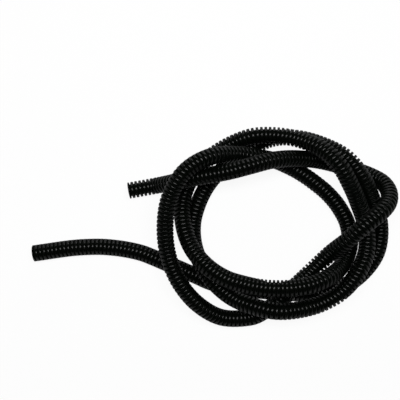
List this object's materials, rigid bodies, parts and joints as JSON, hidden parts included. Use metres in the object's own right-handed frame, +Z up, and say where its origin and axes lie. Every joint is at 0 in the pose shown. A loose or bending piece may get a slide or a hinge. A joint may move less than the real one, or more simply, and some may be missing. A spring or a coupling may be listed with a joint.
{
  "type": "vacuum hose",
  "caption": "Corrugated black plastic vacuum hose, cut plain at both ends and thrown down in a loose coil with its two ends lying free.",
  "frame": {"origin": "on the surface that the hose lies on, under the middle of its bounding box", "axes": "+X from the free ends towards the far side of the coil, +Y across the coil, +Z up"},
  "size_m": [0.6111, 0.3338, 0.0952],
  "materials": {
    "hose_black": "gloss"
  },
  "bodies": {
    "root": {"cut_end_short": "hose_black", "free_stretch_short": "hose_black", "coil": "hose_black", "free_stretch_long": "hose_black", "cut_end_long": "hose_black"}
  },
  "joints": []
}
